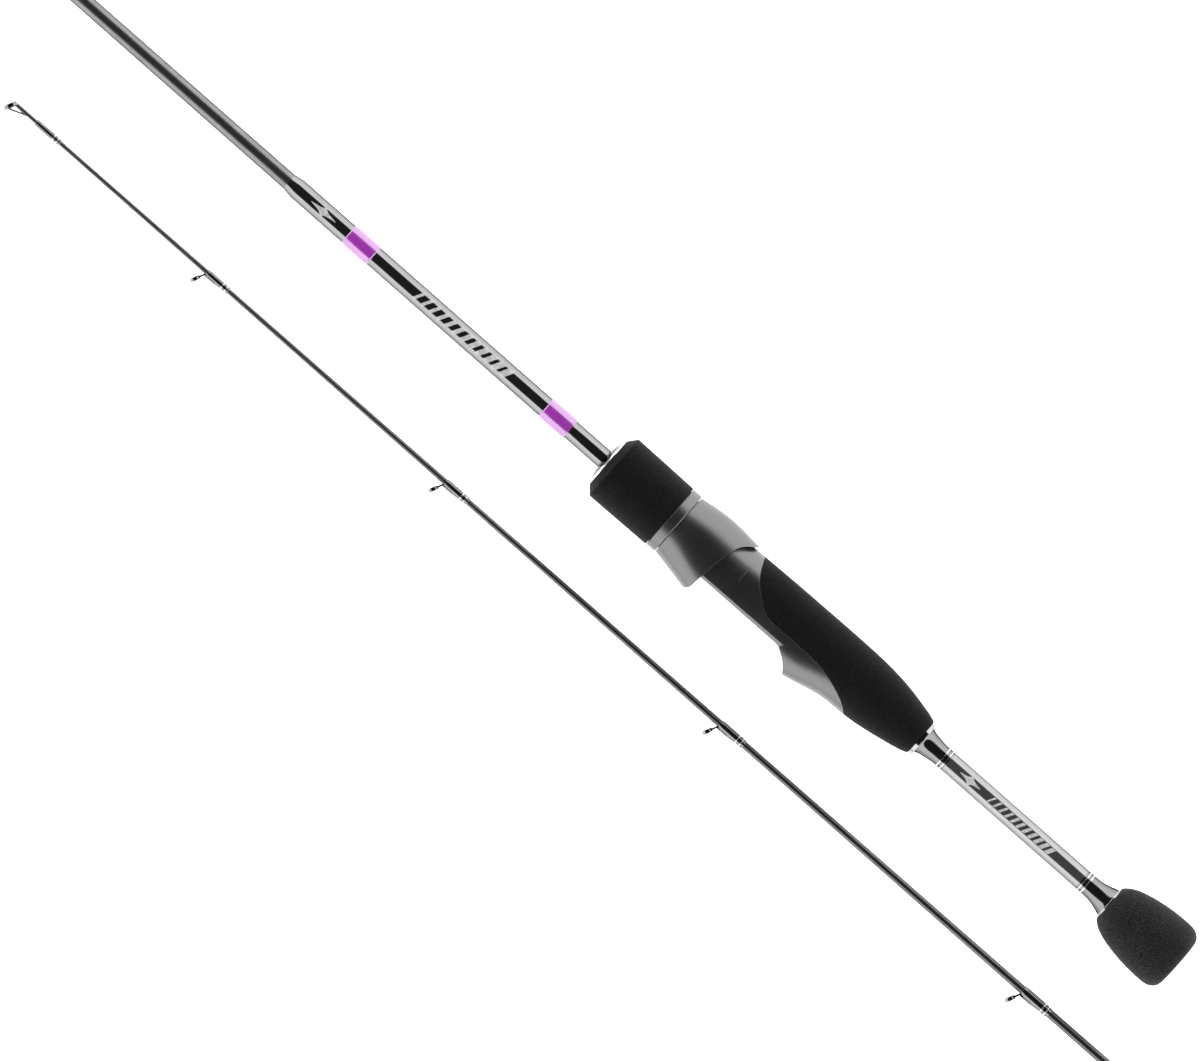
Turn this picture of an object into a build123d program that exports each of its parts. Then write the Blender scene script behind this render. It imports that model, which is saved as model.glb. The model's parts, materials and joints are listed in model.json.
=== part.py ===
from build123d import *

import math
import os

# Two-piece spinning rod, taken apart, its two sections lying side by side.
#
# Row frame, millimetres: the origin is the centre of the butt knob's end face, +X runs along the butt
# section towards its ferrule, +Y is the side that carries the reel and the guides, +Z is up. Both sections
# lie on the plane z = -GRIP_R.

os.makedirs("parts", exist_ok=True)

# ---------------------------------------------------------------- driving dimensions
SECTION_LENGTH = 945.0  # each of the two sections
FERRULE_LENGTH = 62.0
FERRULE_R = 2.65
SOCKET_R = 2.69
BLANK_WALL = 1.1

GRIP_R = 13.4  # largest radius of the knob and of the foregrip, which carry the rod on a floor
KNOB_LENGTH = 32.4
BLANK_START = 6.0  # the blank ends inside the knob
BUTT_R = 3.75  # the blank inside the knob and the rear grip
TRIM_R = 6.2
GRIP_START = 122.3
GRIP_TIP = 210.0  # beyond the foam's pointed end

CORE_R = 8.8  # the seat's tube inside the rear grip
SEAT_BORE_R = 7.0
SEAT_START = 140.0
PLATFORM_Y = 9.0  # height of the reel foot's platform over the axis
PLATFORM_END = 232.3
HOOD_ROOM_X = 222.0  # the platform's wide part ends here, inside the movable hood
BROKEN_EDGE_START = 181.0  # of the platform's long edges
BARREL_R = 10.4
BARREL_END = 257.0
FREE = 0.25  # clearance between parts that slide on each other

NUT_START = 235.0
NUT_BORE_R = BARREL_R + 0.1
NUT_ROOM_END = BARREL_END + 3.2  # room for the barrel when the nut is screwed right down
HOOD_BORE_R = 11.55  # the hood's room for the nut's flange
HOOD_WALL_START = 236.1  # of the front wall that the flange pushes on
COLLAR_START = 237.5
COLLAR_END = 241.5
COLLAR_R = 12.9
SLEEVE_R = 11.6
SLEEVE_END = 266.0
FOREGRIP_END = 270.8
CHECK_R = 9.9
CHECK_BORE_R = 3.75

BAND_WIDTH = 0.45
BAND_HEIGHT = 0.10
RING_LEAN = 66.0  # degrees between a running guide's ring and the blank
STRIPPER_LEAN = 76.0

TIP_Y = 43.7
TIP_Z = -9.2
TIP_END = 517.5  # the tip-top's far edge
MOUTH_X = TIP_END - SECTION_LENGTH
TUBE_START = 502.0  # the tip-top's tube covers the last of the blank
BLANK_TIP = 514.0
TIP_R = 0.80  # the blank where the tip-top's tube starts
TIP_SEAT_R = 0.60  # the blank inside the tube
REACH = 20.0  # a plane further out than anything on the handle

# ---------------------------------------------------------------- outlines
# (x, radius) corners of the two blanks, from the butt to the tip.
BUTT_OUTLINE = [
    (BLANK_START, BUTT_R),
    (180.0, BUTT_R),
    (272.0, 3.47),
    (430.0, 3.20),
    (SECTION_LENGTH - FERRULE_LENGTH, 2.72),
    (SECTION_LENGTH - FERRULE_LENGTH, FERRULE_R),
    (SECTION_LENGTH, FERRULE_R),
]
TIP_OUTLINE = [
    (MOUTH_X, 3.15),
    (MOUTH_X + FERRULE_LENGTH, 3.05),
    (MOUTH_X + FERRULE_LENGTH + 12.0, 2.60),
    (-122.5, 2.00),
    (36.2, 1.58),
    (180.7, 1.34),
    (311.6, 1.13),
    (425.3, 0.93),
    (TUBE_START, TIP_R),
    (TUBE_START, TIP_SEAT_R),
    (BLANK_TIP, TIP_SEAT_R),
]
# Cross-sections of the rear grip and seat: (x, spine, half width, reel side, fullness of the reel side).
GRIP_STATIONS = [
    (GRIP_START, 7.3, 7.3, 7.3, 2.0),
    (127.5, 8.9, 8.9, 8.9, 2.0),
    (132.5, 10.0, 10.0, 9.9, 2.0),
    (138.0, 11.0, 11.0, 10.9, 2.0),
    (144.0, 11.7, 11.65, 11.75, 2.0),
    (150.0, 12.1, 12.0, 12.2, 2.0),
    (156.0, 12.25, 12.0, 12.4, 2.1),
    (162.0, 12.3, 11.95, 13.15, 2.2),
    (168.0, 12.3, 11.8, 14.6, 2.3),
    (174.0, 12.25, 11.65, 15.85, 2.4),
    (181.0, 12.2, 11.5, 16.3, 2.4),
    (188.0, 12.15, 11.4, 16.4, 2.4),
    (195.0, 12.05, 11.3, 16.4, 2.4),
    (202.0, 11.9, 11.25, 16.4, 2.4),
    (209.0, 11.75, 11.2, 16.4, 2.4),
    (216.0, 11.65, 11.15, 16.4, 2.4),
    (HOOD_ROOM_X, 11.6, 11.1, 16.4, 2.4),
]
# The same for the outside of the movable hood.
HOOD_STATIONS = [
    (208.0, 12.95, 12.6, 18.4, 2.5),
    (216.0, 13.6, 12.9, 16.9, 2.5),
    (224.0, 13.95, 13.1, 15.35, 2.45),
    (230.0, 13.55, 13.0, 14.15, 2.2),
    (234.0, 13.0, 12.8, 13.35, 2.05),
    (237.3, 12.5, 12.5, 12.7, 2.0),
]
# The line in side view, (x, y), where the rear grip ends and the bare seat begins.
GRIP_EDGE = [
    (147.6, 13.2),
    (148.8, 11.7),
    (153.8, 8.5),
    (159.0, 6.5),
    (164.5, 5.0),
    (171.0, 4.4),
    (187.0, 4.3),
    (193.1, 3.4),
    (196.4, 1.3),
    (200.7, -2.1),
    (203.6, -5.6),
    (205.3, -8.8),
    (206.5, -12.0),
    (207.2, -14.5),
]
# The movable hood's rear edge in side view, from the spine to the reel side.
HOOD_EDGE = [
    (209.3, -15.5),
    (210.2, -13.0),
    (213.2, -10.6),
    (215.5, -8.2),
    (216.6, -5.6),
    (217.5, -2.0),
    (218.3, 2.5),
    (218.9, 7.65),
    (219.4, 11.7),
    (219.9, 14.4),
    (221.2, 15.9),
    (223.4, 17.2),
]

BUTT = Plane.XY
TIP = Plane(origin=(0.0, TIP_Y, TIP_Z), z_dir=(0, 0, 1))


def along(section):
    """The long axis of a section of the rod."""
    return Axis(section.origin, (1, 0, 0))


def radius_at(outline, x):
    """Radius of a blank at x, on the straight line between the corners around it."""
    for (x0, r0), (x1, r1) in zip(outline, outline[1:]):
        if x0 <= x <= x1 and x1 > x0:
            return r0 + (r1 - r0) * (x - x0) / (x1 - x0)
    raise ValueError(f"no blank at x = {x}")


def turned(section, *outlines):
    """Solids turned about a section's axis, one for each closed outline of (x, radius) corners."""
    with BuildPart() as piece:
        with BuildSketch(section):
            for outline in outlines:
                with BuildLine():
                    Polyline(*outline, close=True)
                make_face()
        revolve(axis=along(section))
    return piece


def ring_outline(x, width, inner_r, outer_r):
    """Outline of a small ring with its two outer edges broken."""
    edge = min(0.35 * width, 0.5 * (outer_r - inner_r))
    return [
        (x, inner_r),
        (x, outer_r - edge),
        (x + edge, outer_r),
        (x + width - edge, outer_r),
        (x + width, outer_r - edge),
        (x + width, inner_r),
    ]


def bands(section, seats):
    """Silver trim bands, each around the surface of radius r at x, for (x, r) in seats."""
    return turned(
        section,
        *[ring_outline(x - BAND_WIDTH / 2, BAND_WIDTH, r, r + BAND_HEIGHT) for x, r in seats],
    )


def cross_section(spine, half_width, reel, fullness, count=24):
    """Points around a cross-section: half an ellipse on the spine, a squarer curve on the reel side."""
    points = []
    for step in range(count):
        angle = 2 * math.pi * step / count
        up = math.cos(angle)
        side = math.sin(angle)
        power = 2 / fullness if up > 0 else 1.0
        depth = reel if up > 0 else spine
        points.append(
            (
                math.copysign(depth * abs(up) ** power, up),
                math.copysign(half_width * abs(side) ** power, side),
            )
        )
    return points


def lofted(stations):
    """A smooth body through cross-sections (x, spine, half width, reel side, fullness)."""
    with BuildPart() as form:
        for x, spine, half_width, reel, fullness in stations:
            with BuildSketch(Plane.YZ.offset(x)):
                with BuildLine():
                    Spline(*cross_section(spine, half_width, reel, fullness), periodic=True)
                make_face()
        loft()
    return form


def strut(start, end, radius):
    """A round rod from one point to another."""
    direction = Vector(*end) - Vector(*start)
    with BuildPart() as rod:
        with BuildSketch(Plane(origin=start, z_dir=direction)):
            Circle(radius)
        extrude(amount=direction.length)
    return rod


def ring_plane(section, x, height, lean):
    """Plane of a guide ring: local x runs from the blank through its centre, local y across the rod."""
    tilt = math.radians(lean)
    return Plane(
        origin=(x, section.origin.Y + height, section.origin.Z),
        x_dir=(math.cos(tilt), math.sin(tilt), 0),
        z_dir=(math.sin(tilt), -math.cos(tilt), 0),
    )


def hoop(plane, inner_r, outer_r, depth):
    """A ring with rounded edges, centred on a plane and coaxial with its normal."""
    edge = 0.32 * min(depth, outer_r - inner_r)
    profile = Plane(origin=plane.origin, x_dir=plane.x_dir, z_dir=plane.y_dir)
    with BuildPart() as ring:
        with BuildSketch(profile) as outline:
            with Locations(((inner_r + outer_r) / 2, 0)):
                Rectangle(outer_r - inner_r, depth)
            fillet(outline.vertices(), edge)
        revolve(axis=Axis(plane.origin, plane.z_dir))
    return ring


# ---------------------------------------------------------------- butt section: blank and knob
with BuildPart() as butt_blank:
    bore = [(x, r - BLANK_WALL) for x, r in BUTT_OUTLINE if x != SECTION_LENGTH - FERRULE_LENGTH]
    with BuildSketch(BUTT):
        with BuildLine():
            Polyline(*BUTT_OUTLINE, *reversed(bore), close=True)
        make_face()
    revolve(axis=along(BUTT))
butt_blank.part.label = "butt_blank"
export_step(butt_blank.part, "parts/butt_blank.step")

with BuildPart() as butt_knob:
    face_r = 9.2  # flat middle of the end face
    with BuildSketch(BUTT):
        with BuildLine():
            Polyline((KNOB_LENGTH, 7.1), (KNOB_LENGTH, TRIM_R), (KNOB_LENGTH - 0.5, TRIM_R))
            Polyline((KNOB_LENGTH - 0.5, TRIM_R), (KNOB_LENGTH - 0.5, BUTT_R), (BLANK_START, BUTT_R))
            Polyline((BLANK_START, BUTT_R), (BLANK_START, 0), (0, 0), (0, face_r))
            Spline(
                (0, face_r),
                (0.9, 11.4),
                (3.1, 12.95),
                (7.0, GRIP_R),
                (13.0, 13.2),
                (20.0, 12.3),
                (26.3, 10.8),
                (30.0, 9.15),
                (KNOB_LENGTH, 7.1),
            )
        make_face()
    revolve(axis=along(BUTT))
butt_knob.part.label = "butt_knob"
export_step(butt_knob.part, "parts/butt_knob.step")

knob_trim_ring = turned(BUTT, ring_outline(KNOB_LENGTH - 0.5, 1.1, BUTT_R, TRIM_R))
knob_trim_ring.part.label = "knob_trim_ring"
export_step(knob_trim_ring.part, "parts/knob_trim_ring.step")

# The two flares are thread and epoxy, thick beside the foam and thinning out on to the blank.
FLARE_R = 3.95  # at the flares' thin ends, which carry the silver bands
knob_flare_start = KNOB_LENGTH + 0.6
with BuildPart() as knob_flare_wrap:
    with BuildSketch(BUTT):
        with BuildLine():
            Spline(
                (knob_flare_start, 5.75),
                (34.7, 5.25),
                (38.3, 4.25),
                (42.3, FLARE_R),
                tangents=[(1, -0.15), (1, 0)],
            )
            Polyline((42.3, FLARE_R), (45.2, FLARE_R), (45.8, BUTT_R), (knob_flare_start, BUTT_R))
            Line((knob_flare_start, BUTT_R), (knob_flare_start, 5.75))
        make_face()
    revolve(axis=along(BUTT))
knob_flare_wrap.part.label = "knob_flare_wrap"
export_step(knob_flare_wrap.part, "parts/knob_flare_wrap.step")

knob_bands = bands(BUTT, [(42.9, FLARE_R), (44.4, FLARE_R)])
knob_bands.part.label = "knob_bands"
export_step(knob_bands.part, "parts/knob_bands.step")

grip_flare_end = GRIP_START - 1.5
with BuildPart() as grip_flare_wrap:
    with BuildSketch(BUTT):
        with BuildLine():
            Spline(
                (112.2, FLARE_R),
                (116.3, 4.4),
                (119.2, 4.95),
                (grip_flare_end, 5.6),
                tangents=[(1, 0), (1, 0.6)],
            )
            Polyline((grip_flare_end, 5.6), (grip_flare_end, BUTT_R), (108.8, BUTT_R), (109.4, FLARE_R))
            Line((109.4, FLARE_R), (112.2, FLARE_R))
        make_face()
    revolve(axis=along(BUTT))
grip_flare_wrap.part.label = "grip_flare_wrap"
export_step(grip_flare_wrap.part, "parts/grip_flare_wrap.step")

grip_bands = bands(BUTT, [(109.9, FLARE_R), (111.5, FLARE_R)])
grip_bands.part.label = "grip_bands"
export_step(grip_bands.part, "parts/grip_bands.step")

grip_trim_ring = turned(BUTT, ring_outline(grip_flare_end, 1.5, BUTT_R, 6.8))
grip_trim_ring.part.label = "grip_trim_ring"
export_step(grip_trim_ring.part, "parts/grip_trim_ring.step")

# ---------------------------------------------------------------- rear grip and reel seat
grip_form = lofted(GRIP_STATIONS)

# The foam covers the spine and runs to a point over the seat; the blank and the seat's tube pass inside.
with BuildPart() as rear_grip:
    add(grip_form.part)
    with BuildSketch(Plane.XY):
        with BuildLine():
            Spline(*GRIP_EDGE)
            Polyline(
                GRIP_EDGE[-1],
                (GRIP_EDGE[-1][0], -REACH),
                (GRIP_START - 2, -REACH),
                (GRIP_START - 2, REACH),
                (GRIP_EDGE[0][0], REACH),
                GRIP_EDGE[0],
            )
        make_face()
    extrude(amount=REACH, both=True, mode=Mode.INTERSECT)
    with BuildSketch(BUTT):
        with BuildLine():
            Polyline(
                (GRIP_START - 2, 0),
                (GRIP_START - 2, BUTT_R),
                (SEAT_START, BUTT_R),
                (SEAT_START, CORE_R),
                (GRIP_TIP, CORE_R),
                (GRIP_TIP, 0),
                close=True,
            )
        make_face()
    revolve(axis=along(BUTT), mode=Mode.SUBTRACT)
rear_grip.part.label = "rear_grip"
export_step(rear_grip.part, "parts/rear_grip.step")

# Room for the back of the reel's foot under the fixed hood.
fixed_pocket = lofted(
    [
        (165.5, 9.0, 9.0, 11.7, 2.35),
        (184.0, 9.6, 9.6, 15.8, 2.35),
    ]
)
with BuildPart() as reel_seat_body:
    add(grip_form.part)
    with BuildSketch(Plane.XY):
        with BuildLine():
            Spline(*GRIP_EDGE)
            Polyline(
                GRIP_EDGE[-1],
                (GRIP_EDGE[-1][0], -REACH),
                (NUT_START, -REACH),
                (NUT_START, REACH),
                (GRIP_EDGE[0][0], REACH),
                GRIP_EDGE[0],
            )
        make_face()
    extrude(amount=REACH, both=True, mode=Mode.INTERSECT)
    # The tube that the rear grip is glued to, and the round, threaded front part.
    with BuildSketch(BUTT):
        with BuildLine():
            Polyline(
                (SEAT_START, 0),
                (SEAT_START, CORE_R),
                (208, CORE_R),
                (208, 11.3),
                (PLATFORM_END, 11.3),
                (PLATFORM_END, BARREL_R),
                (BARREL_END - 0.6, BARREL_R),
                (BARREL_END, BARREL_R - 0.6),
                (BARREL_END, 0),
                close=True,
            )
        make_face()
    revolve(axis=along(BUTT))
    # The platform between the hoods, with the fixed hood's mouth curving down to it.
    with BuildSketch(Plane.XY):
        with BuildLine():
            Spline(
                (174.2, 16.6),
                (175.3, 14.4),
                (177.6, 11.9),
                (180.0, 10.3),
                (184.0, PLATFORM_Y),
                tangents=[(0.2, -1), (1, 0)],
            )
            Polyline(
                (184.0, PLATFORM_Y),
                (PLATFORM_END, PLATFORM_Y),
                (PLATFORM_END, REACH),
                (174.2, REACH),
                (174.2, 16.6),
            )
        make_face()
    extrude(amount=REACH, both=True, mode=Mode.SUBTRACT)
    # Broken long edges of the platform.
    with BuildSketch(Plane.YZ.offset(BROKEN_EDGE_START)):
        for side in (-1, 1):
            with BuildLine():
                Polyline(
                    (PLATFORM_Y - 1.2, side * 10.5),
                    (PLATFORM_Y + 0.4, side * 8.7),
                    (PLATFORM_Y + 0.4, side * 14),
                    (PLATFORM_Y - 1.2, side * 14),
                    close=True,
                )
            make_face()
    extrude(amount=PLATFORM_END - BROKEN_EDGE_START, mode=Mode.SUBTRACT)
    # The pocket, down to the platform's level.
    split(fixed_pocket.part, bisect_by=Plane.XZ.offset(-PLATFORM_Y), keep=Keep.BOTTOM, mode=Mode.SUBTRACT)
    # The bore for the arbors.
    with BuildSketch(Plane.YZ.offset(SEAT_START)):
        Circle(SEAT_BORE_R)
    extrude(amount=BARREL_END - SEAT_START, mode=Mode.SUBTRACT)
reel_seat_body.part.label = "reel_seat_body"
export_step(reel_seat_body.part, "parts/reel_seat_body.step")

for name, start, length in (("rear_arbor", 143.0, 30.0), ("front_arbor", 228.0, 27.0)):
    inner = [(start, radius_at(BUTT_OUTLINE, start))]
    inner += [(x, r) for x, r in BUTT_OUTLINE if start < x < start + length]
    inner += [(start + length, radius_at(BUTT_OUTLINE, start + length))]
    arbor = turned(BUTT, [*inner, (start + length, SEAT_BORE_R), (start, SEAT_BORE_R)])
    arbor.part.label = name
    export_step(arbor.part, f"parts/{name}.step")

# ---------------------------------------------------------------- movable hood
hood_form = lofted(HOOD_STATIONS)
# Room for the seat's wide part and the front of the reel's foot, then for the foot's point alone.
hood_room = lofted(
    [
        (206.0, 11.8 + FREE + 0.05, 11.8, 14.7, 3.0),
        (HOOD_ROOM_X + 3.2, 11.8 + FREE, 11.8, 13.6, 3.0),
    ]
)
hood_tip_room = lofted(
    [
        (HOOD_ROOM_X + 2.6, 8.0, 8.6, 13.2, 2.2),
        (231.0, 8.0, 8.6, 12.2, 2.1),
    ]
)
with BuildPart() as movable_hood:
    add(hood_form.part)
    with BuildSketch(Plane.XY):
        with BuildLine():
            Spline(*HOOD_EDGE)
            Polyline(
                HOOD_EDGE[-1],
                (HOOD_EDGE[-1][0], REACH),
                (COLLAR_END, REACH),
                (COLLAR_END, -REACH),
                (HOOD_EDGE[0][0], -REACH),
                HOOD_EDGE[0],
            )
        make_face()
    extrude(amount=REACH, both=True, mode=Mode.INTERSECT)
    add(hood_room.part, mode=Mode.SUBTRACT)
    add(hood_tip_room.part, mode=Mode.SUBTRACT)
    with BuildSketch(Plane.YZ.offset(HOOD_ROOM_X + 3.0)):
        Circle(HOOD_BORE_R)
    extrude(amount=HOOD_WALL_START - HOOD_ROOM_X - 3.0, mode=Mode.SUBTRACT)
    with BuildSketch(Plane.YZ.offset(HOOD_WALL_START - 0.1)):
        Circle(11.1)
    extrude(amount=2, mode=Mode.SUBTRACT)
movable_hood.part.label = "movable_hood"
export_step(movable_hood.part, "parts/movable_hood.step")

# ---------------------------------------------------------------- foregrip nut
nut_sleeve = turned(
    BUTT,
    [
        (NUT_START, NUT_BORE_R),
        (NUT_START, 11.4),
        (NUT_START + 0.9, 11.4),
        (NUT_START + 0.9, 10.95),
        (COLLAR_START, 10.95),
        (COLLAR_START, COLLAR_R - 0.35),
        (COLLAR_START + 0.35, COLLAR_R),
        (COLLAR_END - 0.25, COLLAR_R),
        (COLLAR_END, COLLAR_R - 0.25),
        (COLLAR_END, SLEEVE_R),
        (SLEEVE_END, SLEEVE_R),
        (SLEEVE_END, 4.2),
        (NUT_ROOM_END, 4.2),
        (NUT_ROOM_END, NUT_BORE_R),
    ],
)
nut_sleeve.part.label = "nut_sleeve"
export_step(nut_sleeve.part, "parts/nut_sleeve.step")

CHECK_SPIGOT_R = 8.9
foregrip = turned(
    BUTT,
    [
        (COLLAR_END + 0.15, SLEEVE_R),
        (COLLAR_END + 0.15, 12.6),
        (COLLAR_END + 0.35, 12.95),
        (COLLAR_END + 0.75, 13.1),
        (267.6, GRIP_R),
        (268.0, 13.35),
        (268.3, 13.1),
        (FOREGRIP_END, 10.1),
        (FOREGRIP_END, CHECK_SPIGOT_R),
        (SLEEVE_END, CHECK_SPIGOT_R),
        (SLEEVE_END, SLEEVE_R),
    ],
)
foregrip.part.label = "foregrip"
export_step(foregrip.part, "parts/foregrip.step")

with BuildPart() as foregrip_check:
    with BuildSketch(BUTT):
        with BuildLine():
            Spline(
                (FOREGRIP_END + 0.15, CHECK_R),
                (FOREGRIP_END + 1.1, 8.1),
                (FOREGRIP_END + 1.8, 5.9),
                (FOREGRIP_END + 2.0, CHECK_BORE_R),
                tangents=[(0.5, -0.6), (0, -1)],
            )
            Polyline(
                (FOREGRIP_END + 2.0, CHECK_BORE_R),
                (SLEEVE_END, CHECK_BORE_R),
                (SLEEVE_END, CHECK_SPIGOT_R),
                (FOREGRIP_END, CHECK_SPIGOT_R),
                (FOREGRIP_END, CHECK_R),
                (FOREGRIP_END + 0.15, CHECK_R),
            )
        make_face()
    revolve(axis=along(BUTT))
foregrip_check.part.label = "foregrip_check"
export_step(foregrip_check.part, "parts/foregrip_check.step")

# ---------------------------------------------------------------- black and purple wraps
COAT_R = 3.86
PURPLE_R = COAT_R + 0.36
COAT_START = 287.0
COAT_END = 422.6
overwrap_coat = turned(
    BUTT,
    [
        (COAT_START, radius_at(BUTT_OUTLINE, COAT_START)),
        (COAT_START + 1.8, COAT_R),
        (COAT_END - 3.8, COAT_R),
        (COAT_END, radius_at(BUTT_OUTLINE, COAT_END)),
    ],
)
overwrap_coat.part.label = "overwrap_coat"
export_step(overwrap_coat.part, "parts/overwrap_coat.step")

for name, start, end in (("purple_wrap_rear", 288.8, 300.5), ("purple_wrap_front", 382.4, 394.3)):
    purple_wrap = turned(
        BUTT,
        [
            (start, COAT_R),
            (start + 0.35, PURPLE_R - 0.07),
            (start + 0.9, PURPLE_R),
            (end - 0.9, PURPLE_R),
            (end - 0.35, PURPLE_R - 0.07),
            (end, COAT_R),
        ],
    )
    purple_wrap.part.label = name
    export_step(purple_wrap.part, f"parts/{name}.step")


# ---------------------------------------------------------------- guides
# The blanks without their bores, to cut the seats of what is wrapped on them.
butt_core = turned(BUTT, [*BUTT_OUTLINE, (SECTION_LENGTH, 0), (BLANK_START, 0)])
tip_core = turned(TIP, [*TIP_OUTLINE, (BLANK_TIP, 0), (MOUTH_X, 0)])

WRAP_HEIGHT = 0.36  # thread and epoxy over the blank
BAND_SPACING = 1.7


def wrap_form(section, blank_r, root, far, foot_height):
    """Thread and epoxy around a blank, from the guide's leg at x = root to x = far, fuller over the foot."""
    run = far - root
    end = 0.09 * run
    wrap_r = blank_r + WRAP_HEIGHT
    foot_line = section.origin.Y + blank_r
    with BuildPart() as form:
        with BuildSketch(section):
            with BuildLine():
                Polyline(
                    (root, 0),
                    (root, blank_r + 0.15),
                    (root + end, wrap_r),
                    (far - end, wrap_r),
                    (far, blank_r + 0.02),
                    (far, 0),
                    close=True,
                )
            make_face()
        revolve(axis=along(section))
        with BuildSketch(Plane(origin=(0, foot_line, section.origin.Z), z_dir=(0, 0, 1))):
            with BuildLine():
                Polyline(
                    (root, 0),
                    (root, 0.7 * foot_height),
                    (root + 0.6 * end, foot_height),
                    (root + 0.4 * run, foot_height),
                    (root + 0.8 * run, 0.2),
                    (root + 0.8 * run, 0),
                    close=True,
                )
            make_face()
        revolve(axis=Axis((0, foot_line, section.origin.Z), (1, 0, 0)))
    return form


def band_seats(blank_r, root, far):
    """Places of the two silver bands at the far end of a wrap."""
    toward_root = math.copysign(1.0, root - far)
    first = far + 0.09 * (root - far) + 0.4 * toward_root
    return [(first, blank_r + WRAP_HEIGHT), (first + BAND_SPACING * toward_root, blank_r + WRAP_HEIGHT)]


def foot_plate(section, blank_r, root, far, width, thickness):
    """The flat foot that the thread holds down, from the leg at x = root to its thin, narrow end at far."""
    under = -0.35 * width
    with BuildPart() as plate:
        for x, across, top in ((root, width, thickness), (far, 0.3 * width, 0.12)):
            middle = section.origin.Y + blank_r + (under + top) / 2
            with BuildSketch(Plane(origin=(x, middle, section.origin.Z), x_dir=(0, 1, 0), z_dir=(1, 0, 0))):
                Rectangle(top - under, across)
        loft()
    return plate


RUNNING_GUIDES = [
    # name, x of the ring's centre, its outer and inner diameter, leg, wrap's length, height over the foot
    ("guide_1", 425.3, 3.7, 2.3, 1.9, 10.6, 0.78),
    ("guide_2", 311.6, 3.8, 2.4, 1.9, 10.9, 0.78),
    ("guide_3", 180.7, 3.9, 2.5, 1.9, 11.6, 0.82),
    ("guide_4", 36.2, 4.1, 2.6, 1.9, 12.6, 0.85),
    ("guide_5", -122.5, 5.8, 3.9, 3.0, 14.5, 1.0),
    ("guide_6", -297.5, 8.2, 5.8, 4.4, 17.0, 1.25),
]
for name, ring_x, ring_od, ring_id, leg, wrap_length, foot_height in RUNNING_GUIDES:
    lean = math.radians(RING_LEAN)
    reach = leg + ring_od / 2
    root = ring_x - reach * math.cos(lean)
    blank_r = radius_at(TIP_OUTLINE, root)
    seat_r = (ring_id + 0.55 * (ring_od - ring_id)) / 2  # where the ceramic meets its metal holder
    depth = 1.1 + 0.08 * ring_od
    plate = 0.5 + 0.05 * ring_od
    across = 0.25 + 0.95 * blank_r

    ring_place = ring_plane(TIP, ring_x, blank_r + 0.2 + reach * math.sin(lean), RING_LEAN)
    leg_place = Plane(
        origin=(root, TIP_Y + blank_r + 0.2, TIP_Z),
        x_dir=ring_place.z_dir,
        z_dir=ring_place.x_dir,
    )
    holder = hoop(ring_place, seat_r, ring_od / 2, depth)
    insert = hoop(ring_place, ring_id / 2, seat_r, depth + 0.15)
    foot = foot_plate(TIP, blank_r, root + 0.3 * plate, root - 0.62 * wrap_length, across, plate)
    with BuildPart() as frame:
        add(holder.part)
        with BuildSketch(leg_place.offset(-0.1)):
            Rectangle(plate, across)
        with BuildSketch(leg_place.offset(leg + 0.1 * ring_od)):
            Rectangle(plate, 0.55 * ring_od)
        loft()
        add(foot.part)
        with BuildSketch(ring_place):
            Circle(seat_r)
        extrude(amount=depth, both=True, mode=Mode.SUBTRACT)
        add(tip_core.part, mode=Mode.SUBTRACT)
    frame.part.label = f"{name}_frame"
    export_step(frame.part, f"parts/{name}_frame.step")

    insert.part.label = f"{name}_ring"
    export_step(insert.part, f"parts/{name}_ring.step")

    with BuildPart() as wrap:
        add(wrap_form(TIP, blank_r, root - 0.1, root - wrap_length, foot_height).part)
        add(tip_core.part, mode=Mode.SUBTRACT)
        add(frame.part, mode=Mode.SUBTRACT)
    wrap.part.label = f"{name}_wrap"
    export_step(wrap.part, f"parts/{name}_wrap.step")

    guide_bands = bands(TIP, band_seats(blank_r, root - 0.1, root - wrap_length))
    guide_bands.part.label = f"{name}_bands"
    export_step(guide_bands.part, f"parts/{name}_bands.step")

# The stripper guide stands on two feet, with two legs behind its ring and one before it.
STRIPPER_X = 813.0
STRIPPER_HEIGHT = 17.0  # of the ring's centre over the axis
STRIPPER_HOLE_R = 5.8
STRIPPER_SEAT_R = 7.1
STRIPPER_R = 8.3
STRIPPER_FEET = [(STRIPPER_X - 14.0, STRIPPER_X - 29.0), (STRIPPER_X + 8.0, STRIPPER_X + 22.0)]
STRIPPER_WRAP_SPARE = 5.0  # of the wraps beyond the feet
stripper_place = ring_plane(BUTT, STRIPPER_X, STRIPPER_HEIGHT, STRIPPER_LEAN)
stripper_blank_r = radius_at(BUTT_OUTLINE, STRIPPER_X)
stripper_holder = hoop(stripper_place, STRIPPER_SEAT_R, STRIPPER_R, 1.8)
leg_circle = (STRIPPER_SEAT_R + STRIPPER_R) / 2
STRIPPER_LEGS = [
    # angle round the ring, x and z of the leg's foot
    (128, STRIPPER_X - 15.0, 0.9),
    (-128, STRIPPER_X - 15.0, -0.9),
    (180, STRIPPER_X + 9.0, 0.0),
]
stripper_legs = []
for angle, foot_x, foot_z in STRIPPER_LEGS:
    on_ring = stripper_place.from_local_coords(
        (leg_circle * math.cos(math.radians(angle)), leg_circle * math.sin(math.radians(angle)), 0)
    )
    stripper_legs.append(strut((foot_x, stripper_blank_r + 0.5, foot_z), tuple(on_ring), 0.75))
stripper_feet = [
    foot_plate(BUTT, radius_at(BUTT_OUTLINE, root), root, far, 3.0, 0.8) for root, far in STRIPPER_FEET
]
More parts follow.
